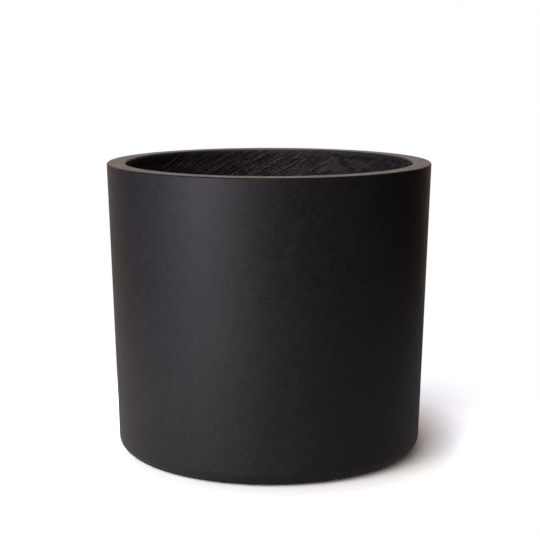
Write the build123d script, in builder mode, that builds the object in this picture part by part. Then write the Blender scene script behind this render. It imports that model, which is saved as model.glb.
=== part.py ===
from build123d import *
import os

# A cast concrete floor planter, in millimetres. A thick-walled, slightly tapered shell is cast in
# one piece with its floor. A ribbed rubber plug closes the drain hole from inside and lifts out,
# and rubber pads let into the underside keep the base off the ground so that water can run out.
# +Z is up, and the origin is on the ground under the middle of the pot.

# Shell, outside
overall_height = 450.0
rim_diameter = 500.0
base_diameter = 474.0
base_edge_radius = 20.0

# Shell, rim and cavity
rim_width = 28.0
rim_arris = 1.5
collar_height = 5.0
collar_step = 2.0
foot_wall = 30.0
floor_thickness = 33.0
floor_splay = 15.0

# Drain hole, with a ledge round it that the plug's flange rests on
drain_diameter = 28.0
drain_mouth_chamfer = 2.0
drain_free_length = 7.0
seat_ledge_width = 18.0
seat_lip_chamfer = 1.5

# Drain plug, stem
rib_clearance = 0.05
rib_height = 1.6
rib_land = 0.6
rib_pitch = 6.5
stem_lead_in = 2.5
stem_lead_in_depth = 1.2
stem_wall = 4.0
stem_core_roof = 7.0

# Drain plug, flange and the bar that fingers pull on
flange_clearance = 3.0
flange_thickness = 4.0
flange_edge_chamfer = 1.2
grip_width = 8.0
grip_height = 4.4
grip_end_inset = 11.0
grip_draft = 8.0
grip_edge_chamfer = 1.0
grip_clearance = 0.6

# Base pads
pad_count = 4
pad_first_angle = 45.0
pad_diameter = 40.0
pad_thickness = 4.0
pad_recess_depth = 2.0
pad_side_clearance = 0.5
pad_edge_inset = 12.0

# Levels: the plug's grip stays below the floor, so the seat is as deep as the plug's head.
base_z = pad_thickness - pad_recess_depth
floor_z = base_z + floor_thickness
seat_depth = flange_thickness + grip_height + grip_clearance
seat_z = floor_z - seat_depth
collar_z = overall_height - collar_height
step_z = collar_z - collar_step

# Radii
rim_radius = rim_diameter / 2
base_radius = base_diameter / 2
drain_radius = drain_diameter / 2
seat_radius = drain_radius + seat_ledge_width
pad_radius = pad_diameter / 2
pad_circle_radius = base_radius - base_edge_radius - pad_edge_inset - pad_radius


def outer_radius(z):
    """Radius of the tapered outside wall at height z."""
    return base_radius + (rim_radius - base_radius) * (z - base_z) / (overall_height - base_z)


# Pot shell: a tapered drum, hollowed from above
with BuildPart() as pot_shell:
    with BuildSketch(Plane.XZ):
        with BuildLine():
            Polyline(
                (0, base_z),
                (base_radius, base_z),
                (rim_radius, overall_height),
                (0, overall_height),
                close=True,
            )
        make_face()
    revolve(axis=Axis.Z)
    base_edge = pot_shell.edges().filter_by(GeomType.CIRCLE).sort_by(Axis.Z)[0]
    fillet(base_edge, base_edge_radius)

    # The trowelled collar under the rim stands proud of the brushed wall below it.
    with BuildSketch(Plane.XZ) as cavity:
        with BuildLine():
            Polyline(
                (0, floor_z),
                (outer_radius(floor_z) - foot_wall, floor_z),
                (outer_radius(step_z) - rim_width + collar_step, step_z),
                (outer_radius(collar_z) - rim_width, collar_z),
                (outer_radius(overall_height) - rim_width, overall_height),
                (0, overall_height),
                close=True,
            )
        make_face()
        floor_corner = cavity.vertices().group_by(Axis.Y)[0].sort_by(Axis.X)[-1]
        chamfer(floor_corner, floor_splay)
    revolve(axis=Axis.Z, mode=Mode.SUBTRACT)

    chamfer(pot_shell.edges().filter_by(GeomType.CIRCLE).group_by(Axis.Z)[-1], rim_arris)

    with Locations((0, 0, floor_z)):
        CounterBoreHole(drain_radius, seat_radius, seat_depth, floor_z)
    seat_lip = pot_shell.edges(Select.LAST).filter_by(GeomType.CIRCLE).sort_by(Axis.Z)[-1]
    chamfer(seat_lip, seat_lip_chamfer)
    underside_edges = pot_shell.edges().filter_by(GeomType.CIRCLE).group_by(Axis.Z)[0]
    chamfer(underside_edges.sort_by(SortBy.RADIUS)[0], drain_mouth_chamfer)

    # The pads' recesses are in the flat of the underside, inside its rounded edge.
    with BuildSketch(Plane.XY.offset(base_z)):
        with PolarLocations(pad_circle_radius, pad_count, pad_first_angle):
            Circle(pad_radius + pad_side_clearance)
    extrude(amount=pad_recess_depth, mode=Mode.SUBTRACT)

# Drain plug: a flange that rests on the ledge, over a stem with barbed sealing ribs
rib_radius = drain_radius - rib_clearance
stem_radius = rib_radius - rib_height
stem_length = floor_thickness - seat_depth - drain_free_length
stem_end_z = seat_z - stem_length
flange_radius = seat_radius - flange_clearance
flange_top_z = seat_z + flange_thickness
rib_count = int((stem_length - stem_lead_in) / rib_pitch)

# Each rib is flat on top and slopes in below, so that it goes down the bore more easily than up.
rib_points = []
for rib in range(rib_count):
    rib_foot_z = seat_z - rib_pitch * (rib + 1)
    rib_points += [
        (stem_radius, rib_foot_z + rib_height + rib_land),
        (rib_radius, rib_foot_z + rib_height + rib_land),
        (rib_radius, rib_foot_z + rib_height),
        (stem_radius, rib_foot_z),
    ]

with BuildPart() as drain_plug:
    with BuildSketch(Plane.XZ):
        with BuildLine():
            Polyline(
                (0, flange_top_z),
                (flange_radius, flange_top_z),
                (flange_radius, seat_z),
                (stem_radius, seat_z),
                *rib_points,
                (stem_radius, stem_end_z + stem_lead_in),
                (stem_radius - stem_lead_in_depth, stem_end_z),
                (0, stem_end_z),
                close=True,
            )
        make_face()
    revolve(axis=Axis.Z)
    top_edge = drain_plug.edges().filter_by(GeomType.CIRCLE).sort_by(Axis.Z)[-1]
    chamfer(top_edge, flange_edge_chamfer)

    # The stem is cored out from below, so that its ribs can give.
    with BuildSketch(Plane.XY.offset(stem_end_z)):
        Circle(stem_radius - stem_wall)
    core_depth = flange_top_z - stem_core_roof - stem_end_z
    extrude(amount=core_depth, mode=Mode.SUBTRACT)

    with BuildSketch(Plane.XY.offset(flange_top_z)):
        SlotOverall(2 * (flange_radius - grip_end_inset), grip_width)
    extrude(amount=grip_height, taper=grip_draft)
    chamfer(drain_plug.faces().sort_by(Axis.Z)[-1].edges(), grip_edge_chamfer)

# Base pads: discs cut from rubber sheet and bonded into the underside's recesses
base_pads = []
for number in range(pad_count):
    angle = pad_first_angle + number * 360 / pad_count
    ground = Plane(origin=Vector(pad_circle_radius, 0, 0).rotate(Axis.Z, angle))
    with BuildPart() as base_pad:
        with BuildSketch(ground):
            Circle(pad_radius)
        extrude(amount=pad_thickness)
    base_pad.part.label = f"base_pad_{number + 1}"
    base_pads.append(base_pad.part)

pot_shell.part.label = "pot_shell"
drain_plug.part.label = "drain_plug"

os.makedirs("parts", exist_ok=True)
for piece in (pot_shell.part, drain_plug.part, *base_pads):
    export_step(piece, f"parts/{piece.label}.step")
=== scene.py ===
import math

import bpy
import numpy as np
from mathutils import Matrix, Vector


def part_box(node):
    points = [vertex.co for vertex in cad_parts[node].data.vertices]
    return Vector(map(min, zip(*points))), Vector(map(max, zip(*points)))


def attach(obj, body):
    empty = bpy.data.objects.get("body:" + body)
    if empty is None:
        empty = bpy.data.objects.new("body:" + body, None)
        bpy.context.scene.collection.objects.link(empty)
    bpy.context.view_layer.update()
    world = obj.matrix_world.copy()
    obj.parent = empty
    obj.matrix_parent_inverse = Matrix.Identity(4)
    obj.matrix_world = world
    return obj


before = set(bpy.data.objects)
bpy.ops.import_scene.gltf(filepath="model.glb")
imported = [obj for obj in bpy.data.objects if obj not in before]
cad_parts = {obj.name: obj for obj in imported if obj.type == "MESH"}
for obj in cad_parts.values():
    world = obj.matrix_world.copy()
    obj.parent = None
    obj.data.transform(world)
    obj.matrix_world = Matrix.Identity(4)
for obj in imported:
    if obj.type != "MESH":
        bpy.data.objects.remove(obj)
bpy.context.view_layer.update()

# A charcoal cast concrete planter. The CAD shell, plug and pads stay as they are and get their finish
# here. Two closed coats of brushed and trowelled concrete lie over the inside of the shell.
# All lengths are in metres unless a name says otherwise.
MM = 0.001

# Sizes of the shell, as the CAD has them
rim_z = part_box("pot_shell")[1].z
rim_radius = 250.0 * MM
base_radius = 237.0 * MM
base_z = 2.0 * MM
rim_width = 28.0 * MM
foot_wall = 30.0 * MM
floor_z = 35.0 * MM
collar_z = 445.0 * MM
collar_step = 2.0 * MM
seat_lip_radius = 33.5 * MM


def outer_radius(z):
    """Radius of the shell's tapered outside at height z."""
    return base_radius + (rim_radius - base_radius) * (z - base_z) / (rim_z - base_z)


def collar_radius(z):
    """Radius of the smooth collar under the rim, carried on downwards."""
    return outer_radius(z) - rim_width


def wall_radius(z):
    """Radius of the shell's set-back inner wall at height z."""
    top_z = collar_z - collar_step
    top = outer_radius(top_z) - rim_width + collar_step
    bottom = outer_radius(floor_z) - foot_wall
    return bottom + (top - bottom) * (z - floor_z) / (top_z - floor_z)


def shell_radius(z):
    """Radius of the shell's inside at height z, with its collar and the step below the collar."""
    low = collar_z - collar_step
    step = np.clip((z - low) / collar_step, 0, 1)
    below = wall_radius(np.minimum(z, low)) * (1 - step) + collar_radius(collar_z) * step
    return np.where(z > collar_z, collar_radius(z), below)


# Random patterns. Each seed stands for one fixed pattern, so every run makes the same pot.
plan_cells = 97
plan_offset = 40


def smoothstep(low, high, value):
    """0 at low and 1 at high, with a smooth change between them. low may be the larger."""
    t = np.clip((value - low) / (high - low), 0, 1)
    return t * t * (3 - 2 * t)


def lattice_noise(u, v, seed, cells_u, cells_v=64):
    """Smooth random values from -1 to 1 between whole numbers, repeating after cells_u by cells_v."""
    values = np.random.default_rng(seed).uniform(-1, 1, (cells_u, cells_v))
    column = np.floor(u).astype(int)
    row = np.floor(v).astype(int)
    across = u - column
    up = v - row
    across = across * across * (3 - 2 * across)
    up = up * up * (3 - 2 * up)
    left = column % cells_u
    right = (column + 1) % cells_u
    low = row % cells_v
    high = (row + 1) % cells_v
    below = values[left, low] * (1 - across) + values[right, low] * across
    above = values[left, high] * (1 - across) + values[right, high] * across
    return below * (1 - up) + above * up


def ring_noise(angle, z, seed, wide, tall):
    """Lattice noise on the wall, in cells about that many metres wide and tall."""
    cells = max(round(2 * math.pi * rim_radius / wide), 3)
    return lattice_noise(angle / (2 * math.pi) * cells, z / tall, seed, cells)


def plan_noise(x, y, seed, size):
    """Lattice noise on the floor, in square cells of that size."""
    u = x / size + plan_offset
    v = y / size + plan_offset
    return lattice_noise(u, v, seed, plan_cells, plan_cells)


def closed_grid(name, points, marks, twist_row=-1, twist=0):
    """A closed mesh from a grid of points that joins up along its rows and from last row to first.

    Between twist_row and the next row the columns join with an offset of twist columns. The marks
    are kept for the material: relief, about -1 in the grooves and 1 on the ridges, and brushed,
    from 0 to 1.
    """
    rows, columns = points.shape[:2]
    row, column = np.meshgrid(np.arange(rows), np.arange(columns), indexing="ij")
    next_row = (row + 1) % rows
    next_column = (column + 1) % columns
    offset = np.where(row == twist_row, twist, 0)
    quads = np.stack(
        [
            row * columns + column,
            row * columns + next_column,
            next_row * columns + (next_column - offset) % columns,
            next_row * columns + (column - offset) % columns,
        ],
        axis=-1,
    ).reshape(-1, 4)
    mesh = bpy.data.meshes.new(name)
    mesh.from_pydata(points.reshape(-1, 3).tolist(), [], quads.tolist())
    mesh.validate()
    mesh.polygons.foreach_set("use_smooth", np.ones(len(mesh.polygons), bool))
    for mark, values in marks.items():
        attribute = mesh.attributes.new(mark, "FLOAT", "POINT")
        attribute.data.foreach_set("value", values.astype(np.float32).ravel())
    piece = bpy.data.objects.new(name, mesh)
    bpy.context.scene.collection.objects.link(piece)
    return piece


def on_cylinder(radius, angle, z):
    return np.stack([radius * np.cos(angle), radius * np.sin(angle), z], axis=-1)


# Inner wall coat: brushed concrete, smoothed by a trowel in patches under the rim
coat_columns = 1200
coat_twist = 620
coat_fine_rows = 44
coat_coarse_rows = 37
coat_fine_z = 388.0 * MM
coat_top_gap = 1.6 * MM
coat_back_depth = 3.0 * MM
coat_skin = 0.05 * MM
coat_mean = 1.2 * MM
coat_at_rim = 0.45 * MM

# Brush strokes, which climb at a slant
stroke_slope = math.radians(26)
stroke_depth = 0.95 * MM
stroke_wander = 8 * MM
stroke_layers = (
    # seed, width in mm, length in mm, weight
    (31, 11.0, 45, 0.22),
    (32, 5.0, 28, 0.42),
    (33, 2.9, 16, 0.62),
)
score_seed = 34
score_width = 5.5 * MM
score_run = 30 * MM
score_weight = 0.9

# Trowelled patches, and the smooth band that each has under the rim
patch_angles = (math.radians(40), math.radians(-72), math.radians(-148))
patch_spans = (math.radians(22), math.radians(14), math.radians(19))
patch_soft_span = 0.05
patch_foot = (375.0 * MM, 405.0 * MM)
patch_thinning = 0.3 * MM
patch_calm = 0.75
lump_depth = 1.1 * MM
grain_depth = 0.10 * MM
band_rest = 2 * MM
band_drop = 11.5 * MM
band_ragged = 3.2 * MM
band_soft = 0.5 * MM
chip_depth = 0.9 * MM
chip_reach = (-5.0 * MM, -3.0 * MM)

# Near the rim the coat thins out, and its last strip is smooth all the way round.
rim_approach = (430.0 * MM, 446.5 * MM)
rim_calm = 0.55
rim_strip = (2.6 * MM, 1.7 * MM)


def trowelled(angle):
    """1 where the wall under the rim is smoothed by a trowel, 0 where it is brushed."""
    patch = 0 * angle
    for middle, span in zip(patch_angles, patch_spans):
        off = np.abs((angle - middle + math.pi) % (2 * math.pi) - math.pi)
        here = smoothstep(span + patch_soft_span, span - patch_soft_span, off)
        patch = np.maximum(patch, here)
    return patch


def band_edge(angle):
    """Height of the smooth band's ragged lower edge, which is above the rim where there is no band."""
    ragged = ring_noise(angle, 0 * angle, seed=11, wide=0.026, tall=1.0)
    ragged = ragged + 0.5 * ring_noise(angle, 0 * angle, seed=12, wide=0.010, tall=1.0)
    return rim_z + band_rest - trowelled(angle) * (band_drop + band_ragged * ragged)


def brush_strokes(angle, z):
    """Long slanting ridges and narrow grooves left by a stiff brush, from about -1 to 1."""
    turn = 2 * math.pi * rim_radius
    wander = stroke_wander * ring_noise(angle, z, seed=21, wide=0.15, tall=0.10)
    along = angle * rim_radius + z / math.tan(stroke_slope) + wander
    strokes = 0 * angle
    for seed, width, run, weight in stroke_layers:
        cells = round(turn / (width * MM))
        layer = lattice_noise(along / turn * cells, z / (run * MM), seed, cells)
        strokes = strokes + weight * layer
    cells = round(turn / score_width)
    scored = np.abs(lattice_noise(along / turn * cells, z / score_run, score_seed, cells))
    return strokes + 0.2 - score_weight * smoothstep(0.20, 0.0, scored)


def wall_front(angle, z):
    """Radius of the coat's face at each point, and the two marks that the material reads there."""
    patch = trowelled(angle) * 2 - 1 + 0.8 * ring_noise(angle, z, seed=45, wide=0.022, tall=0.016)
    patch = smoothstep(-0.3, 0.4, patch) * smoothstep(*patch_foot, z)
    lumps = smoothstep(-0.15, 0.30, ring_noise(angle, z, seed=41, wide=0.016, tall=0.011)) - 0.5
    lumps = lumps + 0.5 * ring_noise(angle, z, seed=42, wide=0.0065, tall=0.0055)
    grain = ring_noise(angle, z, seed=43, wide=0.003, tall=0.003)
    strength = 0.85 + 0.35 * ring_noise(angle, z, seed=44, wide=0.08, tall=0.05)
    strokes = strength * brush_strokes(angle, z)

    # Chips break the smooth band's lower edge.
    above_edge = z - band_edge(angle)
    chips = smoothstep(*chip_reach, above_edge)
    chips = chips * smoothstep(-0.35, 0.10, ring_noise(angle, z, seed=46, wide=0.014, tall=0.02))
    band = smoothstep(-band_soft, band_soft, above_edge)
    band = np.maximum(band, smoothstep(rim_z - rim_strip[0], rim_z - rim_strip[1], z))

    near_rim = smoothstep(*rim_approach, z)
    texture = stroke_depth * strokes * (1 - patch_calm * patch) * (1 - rim_calm * near_rim)
    texture = texture + 0.5 * lump_depth * lumps * patch + grain_depth * grain
    texture = texture - chip_depth * chips
    lower = wall_radius(z) - coat_mean + patch_thinning * patch
    upper = collar_radius(z) - coat_at_rim
    to_upper = near_rim * (1 - patch)
    rough = lower * (1 - to_upper) + upper * to_upper - texture
    rough = np.minimum(rough, shell_radius(z) - coat_skin)
    smooth = collar_radius(z) - coat_skin
    radius = rough * (1 - band) + smooth * band

    # The relief mark is calmer in the patches and lowest in the chips, so the material gives the chips
    # the grooves' painted shade.
    relief = strokes * (1 - 0.6 * patch) + (0.6 * lumps - 0.15) * patch
    relief = relief + 0.3 * grain - 2.0 * chips
    brushed = 1 - 0.7 * patch
    return radius, relief * (1 - band), brushed * (1 - band)


def make_wall_coat():
    """The face's columns of points run along the brush strokes, the back's straight down."""
    step_angle = 2 * math.pi / coat_columns
    top_z = rim_z - coat_top_gap
    bottom_z = top_z - coat_twist * step_angle * rim_radius * math.tan(stroke_slope)
    fine = np.linspace(top_z, coat_fine_z, coat_fine_rows)
    coarse = np.linspace(coat_fine_z, bottom_z, coat_coarse_rows)[1:]
    heights = np.concatenate([fine, coarse])
    columns = np.arange(coat_columns) * step_angle
    z, angle = np.meshgrid(heights, columns, indexing="ij")
    angle = angle - (z - top_z) / math.tan(stroke_slope) / rim_radius
    radius, relief, brushed = wall_front(angle, z)
    front = on_cylinder(radius, angle, z)
    z, angle = np.meshgrid(np.array([bottom_z, top_z]), columns, indexing="ij")
    back = on_cylinder(wall_radius(z) + coat_back_depth, angle, z)
    points = np.concatenate([front, back])
    marks = {
        "relief": np.concatenate([relief, 0 * z]),
        "brushed": np.concatenate([brushed, 0 * z]),
    }
    return closed_grid("inner_wall_coat", points, marks, len(heights) - 1, -coat_twist)


# Inner floor coat: a trowelled floor with a rounded corner that laps onto the wall coat
floor_columns = 420
floor_wall_rows = 9
floor_cove_rows = 14
floor_flat_rows = 52
floor_coat = 0.45 * MM
cove_radius = 26.0 * MM
cove_lap = 1.9 * MM

# The coat's upper edge leans back into the wall coat, and it rises and falls round the wall.
lip_z = 78.0 * MM
lip_lean = 3.2 * MM
lip_reach = 9 * MM
lip_wave = 3 * MM
lip_back_rise = 0.6 * MM

# The coat ends in a small slope round the drain's seat.
seat_flat_gap = 1.6 * MM
seat_slope = (
    # outside the seat's lip, above the shell's floor
    (0.9 * MM, 0.2 * MM),
    (0.6 * MM, -0.1 * MM),
)
seat_calm = 8 * MM

# Trowel sweeps turn round a point beside the drain.
sweep_seed = 53
sweep_centre = (0.05, -0.03)
sweep_wander = 0.01
sweep_width = 4.5 * MM
sweep_cells = 14
sweep_depth = 0.13 * MM
swell_depth = 0.22 * MM
dimple_depth = 0.12 * MM
floor_relief_unit = 0.9 * MM


def floor_relief(x, y, angle, height, radius):
    """Height of the floor coat's trowel marks."""
    swirl_x = x - sweep_centre[0] + sweep_wander * plan_noise(x, y, seed=51, size=0.06)
    swirl_y = y - sweep_centre[1] + sweep_wander * plan_noise(x, y, seed=52, size=0.05)
    outward = np.hypot(swirl_x, swirl_y) / sweep_width
    around = np.arctan2(swirl_y, swirl_x) * (sweep_cells / 2) / math.pi + sweep_cells
    depth = sweep_depth * (1 + plan_noise(x, y, seed=57, size=0.07))
    relief = depth * lattice_noise(outward, around, sweep_seed, plan_cells, sweep_cells)
    relief = relief + swell_depth * plan_noise(x, y, seed=54, size=0.024)
    dimples = ring_noise(angle, height + radius, seed=55, wide=0.012, tall=0.012)
    relief = relief + dimple_depth * dimples
    return relief * smoothstep(0, seat_calm, radius - seat_lip_radius)


def make_floor_coat():
    """The face runs down the wall, round the corner and in to the seat. The back is inside the shell."""
    floor_top = floor_z + floor_coat
    corner_z = floor_top + cove_radius
    corner_r = wall_radius(corner_z) - cove_lap - cove_radius
    wall_part = [
        (wall_radius(h) - cove_lap + lip_lean * (h - corner_z) / (lip_z - corner_z), h)
        for h in np.linspace(lip_z, corner_z, floor_wall_rows)
    ]
    cove_part = [
        (corner_r + cove_radius * math.cos(a), corner_z - cove_radius * math.sin(a))
        for a in np.linspace(0, math.pi / 2, floor_cove_rows)[1:]
    ]
    flat_end = seat_lip_radius + seat_flat_gap
    flat_part = [(r, floor_top) for r in np.linspace(corner_r, flat_end, floor_flat_rows)[1:]]
    face = np.array(wall_part + cove_part + flat_part)
    seat_part = [(seat_lip_radius + out, floor_z + up) for out, up in seat_slope]
    under = floor_z - coat_back_depth
    back_part = [
        (seat_part[-1][0], under),
        (corner_r, under),
        (wall_radius(corner_z) + coat_back_depth, corner_z),
        (wall_radius(lip_z) + coat_back_depth, lip_z + lip_back_rise),
    ]
    rest = np.array(seat_part + back_part)

    columns = np.arange(floor_columns) / floor_columns * 2 * math.pi
    radius, angle = np.meshgrid(face[:, 0], columns, indexing="ij")
    height, _ = np.meshgrid(face[:, 1], columns, indexing="ij")
    relief = floor_relief(radius * np.cos(angle), radius * np.sin(angle), angle, height, radius)
    tilt = np.clip((height - floor_top) / cove_radius, 0, 1) * math.pi / 2
    wave = lip_wave * ring_noise(angle, 0 * angle, seed=56, wide=0.035, tall=1.0)
    lip = smoothstep(lip_z - lip_reach, lip_z, height) * wave
    face_radius = radius - relief * np.sin(tilt)
    face_height = height + relief * np.cos(tilt) + lip
    front = on_cylinder(face_radius, angle, face_height)
    radius, angle = np.meshgrid(rest[:, 0], columns, indexing="ij")
    height, _ = np.meshgrid(rest[:, 1], columns, indexing="ij")
    back = on_cylinder(radius, angle, height)
    marks = {"relief": np.concatenate([relief / floor_relief_unit, 0 * radius])}
    return closed_grid("inner_floor_coat", np.concatenate([front, back]), marks)


wall_coat = make_wall_coat()
floor_coat_piece = make_floor_coat()

for coat in (wall_coat, floor_coat_piece):
    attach(coat, "pot")


# Materials
def colour(red, green, blue):
    return (red, green, blue, 1.0)


# Shades of charcoal, in linear light. The colours of the pits, grooves and dark fine marks are painted
# shade; the pale ridges, hairs and grains are partly paler, worn concrete and partly painted highlight.
cloud_dark = colour(0.0178, 0.0162, 0.0166)
cloud_pale = colour(0.0212, 0.0192, 0.0196)
patch_pale = colour(0.0245, 0.0220, 0.0218)
mottle_pale = colour(0.033, 0.030, 0.030)
mottle_dark = colour(0.009, 0.008, 0.008)
speckle_pale = colour(0.043, 0.040, 0.039)
speckle_dark = colour(0.006, 0.005, 0.005)
pit_outside_painted_shade = colour(0.004, 0.0035, 0.0035)
ridge_wear_and_highlight = colour(0.066, 0.050, 0.053)
groove_painted_shade = colour(0.0042, 0.0028, 0.0026)
hair_pale_and_highlight = colour(0.108, 0.083, 0.087)
grain_pale_and_highlight = colour(0.135, 0.108, 0.110)
fine_painted_shade = colour(0.0037, 0.0025, 0.0023)
pit_inside_painted_shade = colour(0.004, 0.003, 0.003)
rubber_dust = colour(0.06, 0.057, 0.053)

# How deep one unit of each bump height is
outside_bump = 0.07 * MM
inside_bump = 0.55 * MM
rubber_bump = 0.04 * MM

# Roughness of the outside, and of the inside from its grooves to its worn ridges
outside_roughness = (0.41, 0.50)
inside_roughness = (0.95, 0.48)

# Weights of what the bumps add to their fine grain
outside_waves = 7.0
outside_pits = -6.0
inside_hairs = 2.6
inside_pits = -2.5

# Nicks are only on the strip of the outside next to the rim.
nick_heights = (438.5 * MM, 440.5 * MM)

# The hairs fade out beside the line where the angle round the pot jumps by a whole turn.
hair_scale = 330.0
hair_stretch = 0.15
hair_fade = (3.14, 3.02)


class Nodes:
    """Short calls that add shader nodes to one material or world and link them."""

    def __init__(self, owner):
        owner.use_nodes = True
        self.tree = owner.node_tree
        self.tree.nodes.clear()

    def add(self, kind, links=None, **settings):
        node = self.tree.nodes.new(kind)
        for name, value in settings.items():
            setattr(node, name, value)
        for socket, value in (links or {}).items():
            self.put(node.inputs[socket], value)
        return node

    def put(self, socket, value):
        """Link the socket to another one, or set it to a plain value."""
        if isinstance(value, bpy.types.NodeSocket):
            self.tree.links.new(value, socket)
        else:
            socket.default_value = value

    def math(self, operation, first, second=0.0, third=0.0):
        values = {0: first, 1: second, 2: third}
        return self.add("ShaderNodeMath", values, operation=operation).outputs[0]

    def ramp(self, value, low, high, out_low=0.0, out_high=1.0, smooth=True):
        """out_low where the value is at low, out_high where it is at high. low may be the larger."""
        node = self.add(
            "ShaderNodeMapRange",
            {
                "Value": value,
                "From Min": low,
                "From Max": high,
                "To Min": out_low,
                "To Max": out_high,
            },
            interpolation_type="SMOOTHSTEP" if smooth else "LINEAR",
        )
        return node.outputs["Result"]

    def mix(self, factor, first, second, blend="MIX"):
        node = self.add("ShaderNodeMix", data_type="RGBA", blend_type=blend)
        self.put(node.inputs[6], first)
        self.put(node.inputs[7], second)
        self.put(node.inputs[0], factor)
        return node.outputs[2]

    def stain(self, tone, shade, mask, low, high, strength=1.0):
        """Mix shade into tone, from none where mask is at low to that strength where it is at high."""
        return self.mix(self.ramp(mask, low, high, 0.0, strength), tone, shade)

    def noise(self, vector, scale, detail=3.0, rough=0.55, distortion=0.0):
        values = {
            "Vector": vector,
            "Scale": scale,
            "Detail": detail,
            "Roughness": rough,
            "Distortion": distortion,
        }
        return self.add("ShaderNodeTexNoise", values).outputs["Fac"]

    def blend_shaders(self, factor, first, second):
        return self.add("ShaderNodeMixShader", {0: factor, 1: first, 2: second}).outputs[0]


def pinholes(nodes, place, scale, size, share):
    """1 in small round pits left by air bubbles, 0 elsewhere. Only that share of the cells has a pit."""
    cells = nodes.add("ShaderNodeTexVoronoi", {"Vector": place, "Scale": scale})
    chosen = nodes.add("ShaderNodeSeparateColor", {0: cells.outputs["Color"]}).outputs
    edge = size * scale
    pit = nodes.ramp(cells.outputs["Distance"], edge, 0.5 * edge)
    return nodes.math("MULTIPLY", pit, nodes.math("LESS_THAN", chosen[0], share))


def hair_strokes(nodes, place, brushed):
    """The finest brush marks, from 0 to 1. They run the same way as the wall coat's ridges."""
    parts = nodes.add("ShaderNodeSeparateXYZ", {0: place}).outputs
    turned = nodes.math("ARCTAN2", parts["X"], parts["Y"])
    along = nodes.math("MULTIPLY", turned, -rim_radius)
    along = nodes.math("MULTIPLY_ADD", parts["Z"], 1 / math.tan(stroke_slope), along)
    run = nodes.math("MULTIPLY", parts["Z"], hair_stretch)
    marks = nodes.add("ShaderNodeCombineXYZ", {0: along, 1: run}).outputs[0]
    hairs = nodes.noise(marks, hair_scale, detail=3.0, rough=0.65)
    joined = nodes.ramp(nodes.math("ABSOLUTE", turned), *hair_fade)
    level = nodes.math("SUBTRACT", hairs, 0.5)
    return nodes.math("MULTIPLY_ADD", level, nodes.math("MULTIPLY", brushed, joined), 0.5)


def concrete_tone(nodes, place):
    """Charcoal grey with soft clouds and patches in it."""
    clouds = nodes.noise(place, 7.0, detail=4.0, rough=0.6)
    patches = nodes.noise(place, 34.0, detail=4.0, rough=0.6, distortion=0.6)
    tone = nodes.stain(cloud_dark, cloud_pale, clouds, 0.36, 0.64)
    return nodes.stain(tone, patch_pale, patches, 0.42, 0.70, strength=0.45)


def finish_surface(nodes, tone, rough, height, depth):
    """The shader and output of a dull material, with height as its bump."""
    values = {"Height": height, "Distance": depth, "Strength": 1.0}
    normal = nodes.add("ShaderNodeBump", values).outputs["Normal"]
    values = {"Base Color": tone, "Roughness": rough, "Normal": normal}
    shader = nodes.add("ShaderNodeBsdfPrincipled", values).outputs[0]
    nodes.add("ShaderNodeOutputMaterial", {"Surface": shader})


def outside_concrete():
    """Cast face: smooth and satin, with faint mottling and a few pinholes, which are darkened with
    painted shade.
    """
    material = bpy.data.materials.new("concrete_outside")
    nodes = Nodes(material)
    place = nodes.add("ShaderNodeTexCoord").outputs["Object"]
    speckle = nodes.noise(place, 430.0, detail=3.0, rough=0.65)
    mottle = nodes.noise(place, 120.0, detail=3.0, rough=0.6)
    pits = pinholes(nodes, place, 45.0, size=1.1 * MM, share=0.10)
    nicks = pinholes(nodes, place, 36.0, size=1.9 * MM, share=0.22)
    height_up = nodes.add("ShaderNodeSeparateXYZ", {0: place}).outputs["Z"]
    nicks = nodes.math("MULTIPLY", nicks, nodes.ramp(height_up, *nick_heights))
    pits = nodes.math("MAXIMUM", pits, nicks)
    tone = concrete_tone(nodes, place)
    tone = nodes.stain(tone, mottle_pale, mottle, 0.50, 0.68, strength=0.42)
    tone = nodes.stain(tone, mottle_dark, mottle, 0.50, 0.32, strength=0.42)
    tone = nodes.stain(tone, speckle_pale, speckle, 0.53, 0.68, strength=0.60)
    tone = nodes.stain(tone, speckle_dark, speckle, 0.47, 0.32, strength=0.70)
    # Pinholes and nicks are darkened in colour: painted shade inside the pits.
    tone = nodes.mix(nodes.math("MULTIPLY", pits, 0.8), tone, pit_outside_painted_shade)
    wear = nodes.noise(place, 60.0, detail=5.0, rough=0.62)
    rough = nodes.ramp(wear, 0.3, 0.7, *outside_roughness, smooth=False)
    waves = nodes.noise(place, 11.0, detail=2.0, rough=0.5)
    grain = nodes.noise(place, 420.0, detail=4.0, rough=0.62)
    height = nodes.math("MULTIPLY_ADD", waves, outside_waves, grain)
    height = nodes.math("MULTIPLY_ADD", pits, outside_pits, height)
    finish_surface(nodes, tone, rough, height, outside_bump)
    return material


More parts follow.
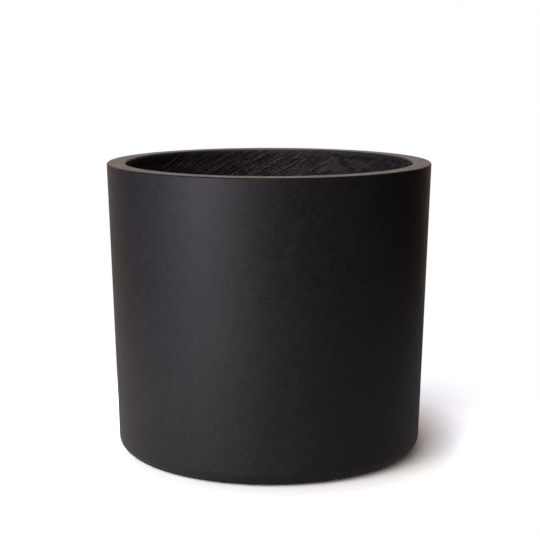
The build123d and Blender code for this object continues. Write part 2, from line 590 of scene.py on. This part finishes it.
def inside_concrete():
    """Brushed and trowelled face: dry and uneven, with pale ridges, part wear and part painted
    highlight, and painted shade in its grooves and pits.
    """
    material = bpy.data.materials.new("concrete_inside")
    nodes = Nodes(material)
    place = nodes.add("ShaderNodeTexCoord").outputs["Object"]
    relief = nodes.add("ShaderNodeAttribute", attribute_name="relief").outputs["Fac"]
    brushed = nodes.add("ShaderNodeAttribute", attribute_name="brushed").outputs["Fac"]
    grains = nodes.noise(place, 360.0, detail=3.0, rough=0.7)
    hairs = hair_strokes(nodes, place, brushed)
    pits = pinholes(nodes, place, 90.0, size=1.2 * MM, share=0.22)
    pale_share = nodes.ramp(brushed, 0.0, 1.0, 0.12, 0.85)
    dark_share = nodes.ramp(brushed, 0.0, 1.0, 0.30, 0.92)
    # Grains are paler where raised, part concrete tone and part painted highlight, and darkened where
    # low with painted shade.
    raised_grain_paleness_and_highlight = nodes.math("MULTIPLY", nodes.ramp(grains, 0.57, 0.65), pale_share)
    low_grain_painted_shade = nodes.math("MULTIPLY", nodes.ramp(grains, 0.46, 0.36), dark_share)
    tone = concrete_tone(nodes, place)
    # Ridges are paler, part wear and part painted highlight; grooves and chips are darkened with painted
    # shade.
    tone = nodes.stain(tone, ridge_wear_and_highlight, relief, 0.30, 0.90, strength=0.85)
    tone = nodes.stain(tone, groove_painted_shade, relief, 0.10, -0.45, strength=0.92)
    # Hairs are paler where raised, part brush-mark tone and part painted highlight; low hairs are
    # darkened with painted shade.
    tone = nodes.stain(tone, hair_pale_and_highlight, hairs, 0.53, 0.61, strength=0.85)
    tone = nodes.stain(tone, fine_painted_shade, hairs, 0.48, 0.40, strength=0.92)
    tone = nodes.mix(raised_grain_paleness_and_highlight, tone, grain_pale_and_highlight)
    tone = nodes.mix(low_grain_painted_shade, tone, fine_painted_shade)
    # Pinholes are darkened in colour: painted shade inside the pits.
    tone = nodes.mix(pits, tone, pit_inside_painted_shade)
    worn_relief = nodes.ramp(relief, -0.5, 0.8, 0.0, 0.5)
    worn_hairs = nodes.ramp(hairs, 0.38, 0.62, 0.0, 0.5)
    worn = nodes.math("ADD", worn_relief, worn_hairs)
    rough = nodes.ramp(worn, 0.1, 0.9, *inside_roughness, smooth=False)
    height = nodes.math("MULTIPLY_ADD", hairs, inside_hairs, grains)
    height = nodes.math("MULTIPLY_ADD", pits, inside_pits, height)
    finish_surface(nodes, tone, rough, height, inside_bump)
    return material


def rubber_material(name, shade, roughness):
    """Black rubber with a little dust on it."""
    material = bpy.data.materials.new(name)
    nodes = Nodes(material)
    place = nodes.add("ShaderNodeTexCoord").outputs["Object"]
    dust = nodes.noise(place, 120.0, detail=5.0, rough=0.6)
    clean = colour(shade, shade, shade * 1.02)
    tone = nodes.stain(clean, rubber_dust, dust, 0.5, 0.75, strength=0.5)
    rough = nodes.ramp(dust, 0.3, 0.7, roughness - 0.06, roughness + 0.12, smooth=False)
    fine = nodes.noise(place, 1800.0, detail=2.0, rough=0.5)
    finish_surface(nodes, tone, rough, fine, rubber_bump)
    return material


def give(piece, material):
    piece.data.materials.clear()
    piece.data.materials.append(material)


coat_material = inside_concrete()
pad_material = rubber_material("pad_rubber", shade=0.02, roughness=0.6)
plug_material = rubber_material("plug_rubber", shade=0.012, roughness=0.42)
give(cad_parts["pot_shell"], outside_concrete())
give(wall_coat, coat_material)
give(floor_coat_piece, coat_material)
give(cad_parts["drain_plug"], plug_material)
for node_name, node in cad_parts.items():
    if node_name.startswith("base_pad"):
        give(node, pad_material)

# Camera, fitted to the photograph's outline
camera_distance = 2.1305
camera_height = 0.6490
camera_side = 0.0014
camera_pitch = math.radians(9.852)
camera_lens_mm = 91.83
camera_sensor_mm = 36.0
camera_data = bpy.data.cameras.new("camera")
camera_data.lens = camera_lens_mm
camera_data.sensor_width = camera_sensor_mm
camera = bpy.data.objects.new("camera", camera_data)
camera.location = (camera_side, -camera_distance, camera_height)
camera.rotation_euler = (math.pi / 2 - camera_pitch, 0, 0)
bpy.context.scene.collection.objects.link(camera)
bpy.context.scene.camera = camera

# Light. Azimuths are in degrees from the camera's side and grow to the left.
window_azimuth = 45.0
window_elevation = 12.0
window_distance = 2.0
window_side = 1.02
window_radiance = 2.85
window_tint = (0.78, 0.78, 1.0)
window_target = Vector((0.0, 0.0, 0.22))
sky_patches = (
    # azimuth, elevation, radius of the even middle, radius of the soft edge, radiance
    (38.0, 18.0, 12.0, 40.0, (1.92, 1.75, 1.82)),
    (78.0, 12.0, 10.0, 40.0, (0.35, 0.42, 0.56)),
    (180.0, 8.0, 10.0, 30.0, (0.63, 0.56, 0.56)),
    (170.0, 6.0, 20.0, 60.0, (0.43, 0.33, 0.27)),
)
room_radiance = (0.022, 0.014, 0.012)
spot_height = 2.3
spot_radius_lit = 0.238
spot_energy = 70.0
spot_blend = 0.25
spot_source_radius = 0.03

# The floor that the camera sees. Its colours are over 1, so that it turns white where it is lit and only
# the pot's shadow shows.
# They are lower close to the pot, which paints extra shade round the foot on top of that shadow. Spans
# are distances from the pot's axis.
floor_reach = 30.0
least_distance = 0.01
painted_shade_span = (0.236, 0.36)
front_near = colour(3.55, 3.72, 3.35)
front_far = colour(5.50, 5.80, 5.15)
behind_near = colour(3.45, 3.80, 3.85)
behind_far = colour(8.00, 9.60, 11.0)
front_to_behind_y = (-0.16, 0.02)
white_span = (0.34, 0.58)

# The floor that the pot sees glows, more on the left. It is dark under the foot, and it ends.
glow_right = 0.19
glow_left = 0.50
glow_tint = colour(1.0, 0.92, 0.94)
foot_shadow_span = (0.215, 0.240)
floor_end_span = (0.80, 1.40)


def heading(azimuth, elevation):
    """Direction from the pot towards a light."""
    turn = math.radians(azimuth)
    rise = math.radians(elevation)
    level = math.cos(rise)
    return Vector((-math.sin(turn) * level, -math.cos(turn) * level, math.sin(rise)))


def make_floor():
    """A pale floor. The camera sees it white with the pot's shadow and painted shade near the foot, and
    the pot sees it glow.
    """
    mesh = bpy.data.meshes.new("floor")
    corners = [
        (-floor_reach, -floor_reach, 0),
        (floor_reach, -floor_reach, 0),
        (floor_reach, floor_reach, 0),
        (-floor_reach, floor_reach, 0),
    ]
    mesh.from_pydata(corners, [], [(0, 1, 2, 3)])
    floor = bpy.data.objects.new("floor", mesh)
    bpy.context.scene.collection.objects.link(floor)
    material = bpy.data.materials.new("floor")
    material.cycles.emission_sampling = "NONE"
    nodes = Nodes(material)
    to_camera = nodes.add("ShaderNodeLightPath").outputs["Is Camera Ray"]
    place = nodes.add("ShaderNodeTexCoord").outputs["Object"]
    parts = nodes.add("ShaderNodeSeparateXYZ", {0: place}).outputs
    length = nodes.add("ShaderNodeVectorMath", {0: place}, operation="LENGTH")
    distance = length.outputs["Value"]

    # Lower colours near the pot paint shade round the foot, fading out over this span.
    outward = nodes.ramp(distance, *painted_shade_span, smooth=False)
    in_front = nodes.mix(outward, front_near, front_far)
    behind = nodes.mix(outward, behind_near, behind_far)
    lit = nodes.mix(nodes.ramp(parts["Y"], *front_to_behind_y), in_front, behind)
    shown = nodes.add("ShaderNodeBsdfDiffuse", {"Color": lit}).outputs[0]
    values = {"Color": colour(1, 1, 1), "Strength": 1.0}
    white = nodes.add("ShaderNodeEmission", values).outputs[0]
    seen = nodes.blend_shaders(nodes.ramp(distance, *white_span), shown, white)

    divisor = nodes.math("MAXIMUM", distance, least_distance)
    leftward = nodes.math("DIVIDE", parts["X"], divisor)
    strength = nodes.ramp(leftward, 0.0, -1.0, glow_right, glow_left, smooth=False)
    strength = nodes.math("MULTIPLY", strength, nodes.ramp(distance, *foot_shadow_span))
    values = {"Color": glow_tint, "Strength": strength}
    glow = nodes.add("ShaderNodeEmission", values).outputs[0]
    clear = nodes.add("ShaderNodeBsdfTransparent").outputs[0]
    unseen = nodes.blend_shaders(nodes.ramp(distance, *floor_end_span), glow, clear)

    surface = nodes.blend_shaders(to_camera, unseen, seen)
    nodes.add("ShaderNodeOutputMaterial", {"Surface": surface})
    give(floor, material)


def make_world():
    """White to the camera. To the pot it is a dark room with a few soft-edged bright patches."""
    world = bpy.data.worlds.new("studio")
    bpy.context.scene.world = world
    nodes = Nodes(world)
    to_camera = nodes.add("ShaderNodeLightPath").outputs["Is Camera Ray"]
    direction = nodes.add("ShaderNodeTexCoord").outputs["Generated"]
    room = colour(*room_radiance)
    for azimuth, elevation, middle_radius, edge_radius, radiance in sky_patches:
        towards = {0: direction, 1: heading(azimuth, elevation)}
        product = nodes.add("ShaderNodeVectorMath", towards, operation="DOT_PRODUCT")
        edge = math.cos(math.radians(edge_radius))
        middle = math.cos(math.radians(middle_radius))
        patch = nodes.ramp(product.outputs["Value"], edge, middle)
        room = nodes.mix(patch, room, colour(*radiance), "ADD")
    seen = nodes.mix(to_camera, room, colour(1, 1, 1))
    background = nodes.add("ShaderNodeBackground", {"Color": seen, "Strength": 1.0})
    nodes.add("ShaderNodeOutputWorld", {"Surface": background.outputs[0]})


def hang(name, lamp, place):
    """Put a lamp in the scene, out of the camera's sight."""
    holder = bpy.data.objects.new(name, lamp)
    holder.location = place
    holder.visible_camera = False
    bpy.context.scene.collection.objects.link(holder)
    return holder


def make_window():
    """A square lamp like a window, to the left of the camera, turned towards the pot."""
    lamp = bpy.data.lights.new("window", "AREA")
    lamp.shape = "SQUARE"
    lamp.size = window_side
    lamp.energy = window_radiance * math.pi * window_side * window_side
    lamp.color = window_tint
    place = window_target + window_distance * heading(window_azimuth, window_elevation)
    holder = hang("window", lamp, place)
    holder.rotation_euler = (window_target - place).to_track_quat("-Z", "Y").to_euler()


def make_overhead_spot():
    """A lamp above the pot that lights its rim and the inside, and not the floor round it."""
    lamp = bpy.data.lights.new("overhead", "SPOT")
    lamp.energy = spot_energy
    lamp.shadow_soft_size = spot_source_radius
    lamp.spot_size = 2 * math.atan(spot_radius_lit / (spot_height - rim_z))
    lamp.spot_blend = spot_blend
    hang("overhead", lamp, (0.0, 0.0, spot_height))


make_floor()
make_world()
make_window()
make_overhead_spot()

bpy.context.scene.view_settings.view_transform = "Standard"
